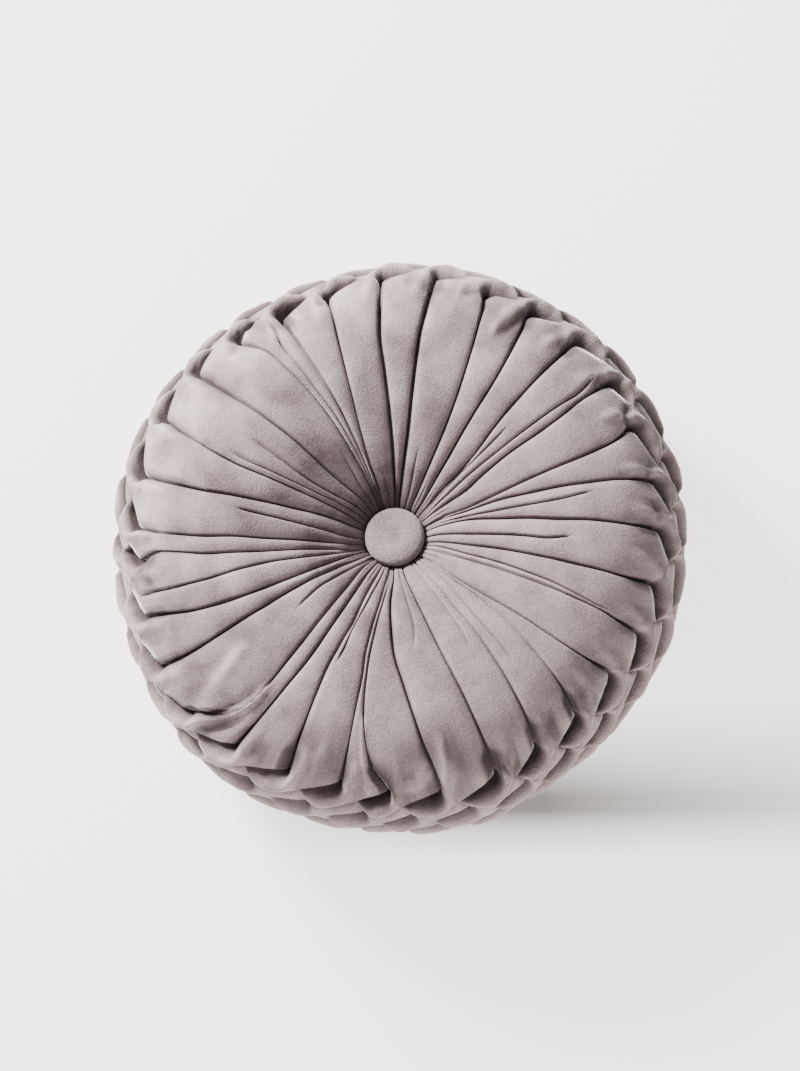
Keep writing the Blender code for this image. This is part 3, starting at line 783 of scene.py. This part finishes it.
def thumb_ridges():
    """One ridge for each leaf, where the cloth leaves a pleat between the slit's end and the next knot."""
    angles = SIDE_ANGLES.ravel()
    ridges = []
    for row, height in enumerate(THUMB_HEIGHTS):
        start = row_start(row) + SEAT_RADIUS
        for pleat in range(PLEATS):
            path = []
            for share, past in THUMB_PATH:
                at = round((pleat + share + ROW_SHIFT * row) * PER_PLEAT)
                path.append((start[at % COLUMNS] + past, angles[at % COLUMNS] + 360 * (at // COLUMNS)))
            ridges.append((height, THUMB_WIDTH, path))
    return ridges


def wrinkle_lift(angle, along):
    """Height that the wrinkles add at each point, fading with distance from each one's path."""
    lift = np.zeros(angle.shape)
    for height, width, path in (*WRINKLES, *thumb_ridges()):
        outs, turns = smooth_curve([(out - SEAT_RADIUS, turn) for out, turn in path], WRINKLE_STEPS).T
        to_mm = math.radians(SECTION_LINE.at(outs.mean())[0])
        turn = np.mod(angle - turns.mean() + 180, 360) - 180 + turns.mean()
        reach = 3 * width
        near = (along > outs.min() - reach) & (along < outs.max() + reach)
        near &= (turn * to_mm > turns.min() * to_mm - reach) & (turn * to_mm < turns.max() * to_mm + reach)
        out_off = along[near][:, None] - outs
        side_off = (turn[near][:, None] - turns) * to_mm
        away = np.sqrt((out_off**2 + side_off**2).min(axis=1))
        lift[near] += height * np.exp(-0.5 * (away / width * 1.5) ** 2)
    return lift


def soft_unevenness(angle, along):
    """Height of the cloth's shallow seeded dips and swells, from waves in all directions."""
    rng = np.random.default_rng((SEED, 7))
    radius, height = SECTION_LINE.at(along)
    spot = np.stack([radius * np.sin(np.radians(angle)), radius * np.cos(np.radians(angle)), height], axis=-1)
    total = np.zeros(angle.shape)
    for _ in range(UNEVEN_WAVES):
        heading = rng.normal(size=3)
        heading /= np.linalg.norm(heading)
        length = rng.uniform(*UNEVEN_LENGTHS)
        total += length * np.sin(spot @ heading * (2 * math.pi / length) + rng.uniform(0, 2 * math.pi))
    share = np.clip((radius - SEAT_RADIUS) / UNEVEN_FADE, 0, 1)
    return total / np.sqrt((total**2).mean()) * UNEVEN_HEIGHT * share


def outline_out(angle, radius):
    """How far the outline stands out past the section at each point."""
    share = smoothstep((radius - OUTLINE_FROM) / (OUTLINE_FULL - OUTLINE_FROM))
    angles = column(OUTLINE, "angle")
    return smooth_path(angles, column(OUTLINE, "out"), np.mod(angle, 360)) * share


def place(angle, along, lift, front, bulge):
    """Points in space, in millimetres, with the outline's bulge and the face's pull to its button."""
    radius, height = SECTION_LINE.at(along)
    out_r, out_z = SECTION_LINE.outward(along)
    radius = radius + out_r * lift + bulge * outline_out(angle, radius)
    height = height + out_z * lift
    pull = np.clip(1 - (radius - GATHER_FROM) / GATHER_REACH, 0, 1) ** GATHER_POWER * front
    x = radius * np.sin(np.radians(angle)) + GATHER[0] * pull
    y = radius * np.cos(np.radians(angle)) + GATHER[1] * pull
    return np.stack([x, y, np.maximum(height, 0.0)], axis=-1)


def cover_points():
    """The cover's points as rings, in millimetres, with the middle of its plain box, lifts and angles."""
    angle, along, lift = (np.concatenate(parts) for parts in zip(face_grid(), braid_grid(), back_grid()))
    front = on_face(angle)
    lift += wrinkle_lift(angle, along)
    lift += soft_unevenness(angle, along)
    plain = place(angle, along, lift, front, 0.0).reshape(-1, 3)
    middle = ((plain.min(axis=0) + plain.max(axis=0)) / 2)[:2]
    return place(angle, along, lift, front, 1.0), middle, lift, angle


def ring_mesh(name, points):
    """A closed mesh over rows of points, each row a ring, with a flat middle at both ends."""
    rows, count, _ = points.shape
    verts = points.reshape(-1, 3)
    start = np.arange(rows - 1)[:, None] * count
    first = start + np.arange(count)
    second = start + (np.arange(count) + 1) % count
    quads = np.stack([first, second, second + count, first + count], axis=-1).reshape(-1, 4)
    mesh = bpy.data.meshes.new(name)
    ends = [list(range(count))[::-1], list(range((rows - 1) * count, rows * count))]
    mesh.from_pydata((verts * MM).tolist(), [], quads.tolist() + ends)
    work = bmesh.new()
    work.from_mesh(mesh)
    bmesh.ops.recalc_face_normals(work, faces=work.faces)
    work.to_mesh(mesh)
    work.free()
    mesh.shade_smooth()
    return mesh


def on_face(values):
    """Which rows of the cover's points are of its face."""
    return (np.arange(len(values)) < FACE_ROWS)[:, None]


def beside(values, count):
    """The values that many columns to either side of each point."""
    return np.roll(values, count, axis=1), np.roll(values, -count, axis=1)


def above_and_below(values, count):
    """The values that many rows to either side of each point, with the end rows held."""
    padded = np.pad(values, ((count, count), (0, 0)), mode="edge")
    return padded[:-2 * count], padded[2 * count:]


def painted_shade_shares(lift, angle):
    """How far each point lies below the highest point near it, as a share from 0 to 1, for the painted shade
    in the hollows.
    """
    across = lift
    for count in range(1, HOLLOW_COLUMNS + 1):
        across = np.maximum(across, np.maximum(*beside(lift, count)))
    highest = across
    for count in range(1, HOLLOW_ROWS + 1):
        highest = np.maximum(highest, np.maximum(*above_and_below(across, count)))
    side = SIDE_HOLLOW_DEPTH - OPEN_HOLLOW_DEPTH * pocket_open(angle)
    return np.clip((highest - lift) / np.where(on_face(lift), FACE_HOLLOW_DEPTH, side), 0, 1)


def crest_shares(lift):
    """How far each point stands above the mean of those beside it, as a share from 0 to 1."""
    near = sum(beside(lift, CREST_SPREAD), start=lift) / 3
    near = sum(above_and_below(near, CREST_SPREAD), start=near) / 3
    return np.clip((lift - near) / CREST_HEIGHT, 0, 1) * np.where(on_face(lift), 1.0, SIDE_CREST)


def set_shades(mesh, hollow, painted_shading, brushed):
    """Keeps three numbers for each point of a mesh, for its velvet to read: the painted shade in the hollows,
    the painted light and shade by place, and the strength of the brushed patches.
    """
    for name, values in (("hollow", hollow), ("painted_shading", painted_shading), ("brushed", brushed)):
        attribute = mesh.attributes.new(name, "FLOAT", "POINT")
        values = np.broadcast_to(values, hollow.shape)
        attribute.data.foreach_set("value", np.ascontiguousarray(values, np.float32).ravel())


def add_object(name, data):
    """Puts a new object with this data in the scene."""
    thing = bpy.data.objects.new(name, data)
    bpy.context.scene.collection.objects.link(thing)
    return thing


class Wires:
    """Adds nodes to a material and joins them."""

    def __init__(self, material):
        self.nodes = material.node_tree.nodes
        self.links = material.node_tree.links

    def add(self, kind, **settings):
        node = self.nodes.new(kind)
        for key, value in settings.items():
            setattr(node, key, value)
        return node

    def join(self, output, target):
        self.links.new(output, target)

    def attribute(self, name):
        return self.add("ShaderNodeAttribute", attribute_name=name).outputs["Fac"]

    def noise(self, spot, settings):
        node = self.add("ShaderNodeTexNoise")
        for key, number in zip(("Scale", "Detail", "Distortion"), settings):
            node.inputs[key].default_value = number
        self.join(spot, node.inputs["Vector"])
        return node.outputs["Fac"]

    def remap(self, value, low, high, to_low, to_high):
        node = self.add("ShaderNodeMapRange")
        for key, number in zip(("From Min", "From Max", "To Min", "To Max"), (low, high, to_low, to_high)):
            node.inputs[key].default_value = number
        self.join(value, node.inputs["Value"])
        return node.outputs["Result"]

    def maths(self, operation, first, second):
        node = self.add("ShaderNodeMath", operation=operation)
        self.join(first, node.inputs[0])
        self.join(second, node.inputs[1])
        return node.outputs["Value"]

    def mix(self, share, first, second):
        node = self.add("ShaderNodeMix", data_type="RGBA")
        self.join(share, node.inputs["Factor"])
        for slot, value in ((6, first), (7, second)):
            if isinstance(value, tuple):
                node.inputs[slot].default_value = (*value, 1.0)
            else:
                self.join(value, node.inputs[slot])
        return node.outputs[2]


def new_material(name, settings):
    """A material, its shader with these settings, and what wires them."""
    material = bpy.data.materials.new(name)
    material.use_nodes = True
    shader = material.node_tree.nodes["Principled BSDF"]
    for key, value in settings:
        shader.inputs[key].default_value = value
    return material, shader, Wires(material)


def velvet_material(name, dark, light, shade_colour):
    """Short-pile velvet: brushed patches and fine pile between two tones, shifted by painted light and shade
    by place, with painted shade in the hollows.
    """
    material, shader, wires = new_material(name, VELVET_SETTINGS)
    spot = wires.add("ShaderNodeTexCoord").outputs["Object"]
    patches = wires.remap(wires.noise(spot, PATCH_NOISE), *NOISE_SPAN, -1.0, 1.0)
    patches = wires.maths("MULTIPLY", patches, wires.attribute("brushed"))
    marks = wires.remap(wires.noise(spot, MARK_NOISE), *NOISE_SPAN, -MARK_TONE, MARK_TONE)
    grain_noise = wires.noise(spot, GRAIN_NOISE)
    grain = wires.remap(grain_noise, *NOISE_SPAN, -GRAIN_TONE, GRAIN_TONE)
    tone = wires.maths("ADD", wires.maths("ADD", patches, marks), grain)
    # Painted light and shade by place, added to the tone
    tone = wires.maths("ADD", tone, wires.attribute("painted_shading"))
    surface = wires.mix(wires.remap(tone, -0.5, 0.5, 0.0, 1.0), dark, light)
    # Painted shade: the hollows are mixed towards the painted shade colour
    hollow = wires.remap(wires.attribute("hollow"), PAINTED_SHADE_FROM, PAINTED_SHADE_FULL, 0.0, 1.0)
    wires.join(wires.mix(hollow, surface, shade_colour), shader.inputs["Base Color"])
    bump = wires.add("ShaderNodeBump")
    bump.inputs["Strength"].default_value = GRAIN_STRENGTH
    bump.inputs["Distance"].default_value = GRAIN_DEPTH
    wires.join(grain_noise, bump.inputs["Height"])
    wires.join(bump.outputs["Normal"], shader.inputs["Normal"])
    return material


def turn_share(angle, toward):
    """Runs from 1 at one angle round the cushion to -1 opposite it."""
    return np.cos(np.radians(angle - toward))


def painted_shading_shares(points, lift, angle):
    """Painted light and shade by place: lighter towards the pile's lean and darker opposite, painted shade
    over the middle, strongest on its left, and on the rim's side towards the top left, and painted highlights
    on the crests.
    """
    radius = np.hypot(points[..., 0], points[..., 1])
    height = points[..., 2]
    inner = smoothstep(1 - radius / MIDDLE_SHADE_RADIUS) * (height > THICKNESS / 2)
    inner *= MIDDLE_SHADE_EVEN + MIDDLE_SHADE_TURN * turn_share(angle, MIDDLE_SHADE_ANGLE)
    beyond = smoothstep((RIM_SHADE_FROM - height) / RIM_SHADE_FADE) * (height > THICKNESS / 4)
    # Painted light towards the pile's lean, painted shade over the middle and the rim's side, painted
    # highlights on the crests
    painted_shading = PAINTED_SIDE_LIGHT * turn_share(angle, NAP_ANGLE) - MIDDLE_SHADE * inner
    painted_shading += CREST_HIGHLIGHT * crest_shares(lift)
    return painted_shading - RIM_SHADE * beyond * np.clip(turn_share(angle, RIM_SHADE_ANGLE), 0, 1)


def make_cover():
    """Builds the cover's shell and gives back the middle of its plain box."""
    points, middle, lift, angle = cover_points()
    points[..., :2] -= middle
    mesh = ring_mesh("cover_velvet_shell", points)
    brushed = BRUSHED_MEAN + BRUSHED_SWING * turn_share(angle, NAP_ANGLE)
    set_shades(mesh, painted_shade_shares(lift, angle), painted_shading_shares(points, lift, angle), brushed)
    mesh.materials.append(velvet_material("cover_velvet", COVER_DARK, COVER_LIGHT, COVER_PAINTED_SHADE))
    cover = add_object("cover_velvet_shell", mesh)
    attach(cover, "root")
    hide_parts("cover")
    return middle


def button_rings():
    """The covered button as rows of points round its axis, from the middle of its dome to its foot."""
    turn = np.radians(np.arange(BUTTON_COLUMNS) * 360.0 / BUTTON_COLUMNS)
    rings = []
    for row in range(1, BUTTON_ROWS + 1):
        t = math.pi / 2 * row / BUTTON_ROWS
        radius = BUTTON_RADIUS * math.sin(t)
        height = BUTTON_RIM_HEIGHT + BUTTON_DOME * math.cos(t) ** BUTTON_DOME_POWER
        rings.append((radius, height, math.cos(t)))
    for row in range(1, BUTTON_FOOT_ROWS + 1):
        t = math.pi / 2 * row / BUTTON_FOOT_ROWS
        radius = BUTTON_FOOT_RADIUS + (BUTTON_RADIUS - BUTTON_FOOT_RADIUS) * math.cos(t)
        height = BUTTON_RIM_HEIGHT * (1 - math.sin(t))
        tuck = BUTTON_TUCK * math.sin(t) * (0.5 + 0.5 * np.cos(turn * BUTTON_TUCKS))
        rings.append((radius - tuck, height, 0.0))
    rows = []
    for radius, height, share in rings:
        x = radius * np.sin(turn)
        y = radius * np.cos(turn)
        dent = sum(depth * np.exp(-((x - at_x)**2 + (y - at_y)**2) / width**2)
                   for at_x, at_y, width, depth in BUTTON_DENTS)
        rows.append(np.stack([x, y, height - dent * share], axis=-1))
    return np.array(rows)


def make_button(name, node, at, height, side, material):
    """Builds one button over a node, its dome up if the side is 1 and down if it is -1."""
    points = button_rings()
    # Painted shade, darker down the button's side from its rim to its foot
    hollow = np.clip((BUTTON_RIM_HEIGHT - points[..., 2]) / BUTTON_RIM_HEIGHT, 0, 1)
    points[..., 1] *= side
    points[..., 2] *= side
    points += np.array([at[0], at[1], height])
    mesh = ring_mesh(name, points)
    set_shades(mesh, hollow, 0.0, BRUSHED_MEAN)
    mesh.materials.append(material)
    button = add_object(name, mesh)
    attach(button, "root")
    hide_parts(node)


def make_buttons(middle):
    material = velvet_material("button_velvet", BUTTON_DARK, BUTTON_LIGHT, COVER_PAINTED_SHADE)
    half = THICKNESS / 2
    back_seat = half - (SEAT_HEIGHT - half) * (1 + REST_PRESS / half)
    make_button("button_front_dome", "button_front", GATHER - middle, SEAT_HEIGHT + CLEARANCE, 1, material)
    make_button("button_back_dome", "button_back", -middle, back_seat - CLEARANCE, -1, material)


# The camera's angle off the face's normal, its distance and the width it sees there
VIEW_DOWN = math.radians(14.0)
VIEW_RIGHT = math.radians(1.5)
VIEW_DISTANCE = 1.7
VIEW_WIDTH = 0.5594
VIEW_RAISE = 0.00455
SENSOR = 36.0


def make_camera():
    toward = Vector((math.sin(VIEW_RIGHT), -math.sin(VIEW_DOWN) * math.cos(VIEW_RIGHT),
                     math.cos(VIEW_DOWN) * math.cos(VIEW_RIGHT)))
    right = Vector((0.0, 1.0, 0.0)).cross(toward).normalized()
    up = toward.cross(right)
    middle = Vector((0.0, 0.0, THICKNESS / 2 * MM))
    place_at = middle + toward * VIEW_DISTANCE
    look = (place_at - (middle + up * VIEW_RAISE)).normalized()
    side = up.cross(look).normalized()
    data = bpy.data.cameras.new("photo_view")
    data.sensor_fit = "HORIZONTAL"
    data.sensor_width = SENSOR
    data.lens = SENSOR * VIEW_DISTANCE / VIEW_WIDTH
    camera = add_object("photo_view", data)
    basis = Matrix((side, look.cross(side), look)).transposed().to_4x4()
    camera.matrix_world = Matrix.Translation(place_at) @ basis
    bpy.context.scene.camera = camera


# Lamps, all aimed at one place: name, place and size in metres, power in watts, and colour
LAMPS = (
    ("window", (-1.5, 1.48, 1.12), (0.75, 0.75), 450.0, (1.0, 0.985, 0.96)),
    ("fill", (0.6, -2.2, 0.34), (2.8, 0.6), 125.0, (1.0, 0.96, 0.92)),
)
LAMP_AIM = (0.0, 0.0, 0.06)
ROOM_COLOUR = (1.0, 0.99, 0.97, 1.0)
ROOM_LIGHT = 0.52

# The floor and its glow, painted light that also lights the cushion from below, with a painted shadow as a
# soft darker patch at the lower right: where each side starts and is full
FLOOR_SIZE = 8.0
FLOOR_SETTINGS = (
    ("Base Color", (0.38, 0.36, 0.335, 1.0)),
    ("Roughness", 0.9),
    ("Emission Color", (1.0, 0.98, 0.945, 1.0)),
)
FLOOR_GLOW = 2.5
PAINTED_SHADOW_GLOW = 0.1
SHADE_FOOT = (-0.212, -0.180)
SHADE_HEAD = (-0.105, -0.170)
SHADE_LEFT = (-0.12, 0.04)
SHADE_RIGHT = (0.10, 0.50)


def make_lamp(name, spot, size, power, colour):
    data = bpy.data.lights.new(name, "AREA")
    data.shape = "ELLIPSE"
    data.size, data.size_y = size
    data.energy = power
    data.color = colour
    lamp = add_object(name, data)
    lamp.location = spot
    lamp.rotation_euler = (Vector(LAMP_AIM) - Vector(spot)).to_track_quat("-Z", "Y").to_euler()


def make_floor():
    bpy.ops.mesh.primitive_plane_add(size=FLOOR_SIZE, location=(0.0, 0.0, 0.0))
    floor = bpy.context.object
    floor.name = "floor"
    material, shader, wires = new_material("floor_paper", FLOOR_SETTINGS)
    apart = wires.add("ShaderNodeSeparateXYZ")
    wires.join(wires.add("ShaderNodeTexCoord").outputs["Object"], apart.inputs["Vector"])
    # Painted shadow: the floor's glow drops in a soft patch at the lower right
    painted_shadow = wires.remap(apart.outputs["X"], *SHADE_RIGHT, 1.0, 0.0)
    for axis, pair in (("X", SHADE_LEFT), ("Y", SHADE_FOOT), ("Y", SHADE_HEAD)):
        painted_shadow = wires.maths("MULTIPLY", painted_shadow, wires.remap(apart.outputs[axis], *pair, 0.0, 1.0))
    wires.join(wires.remap(painted_shadow, 0.0, 1.0, FLOOR_GLOW, PAINTED_SHADOW_GLOW), shader.inputs["Emission Strength"])
    floor.data.materials.append(material)


def make_room():
    world = bpy.data.worlds.new("soft_room")
    world.use_nodes = True
    background = world.node_tree.nodes["Background"]
    background.inputs["Color"].default_value = ROOM_COLOUR
    background.inputs["Strength"].default_value = ROOM_LIGHT
    bpy.context.scene.world = world


make_camera()
make_floor()
make_room()
for lamp_row in LAMPS:
    make_lamp(*lamp_row)
make_buttons(make_cover())
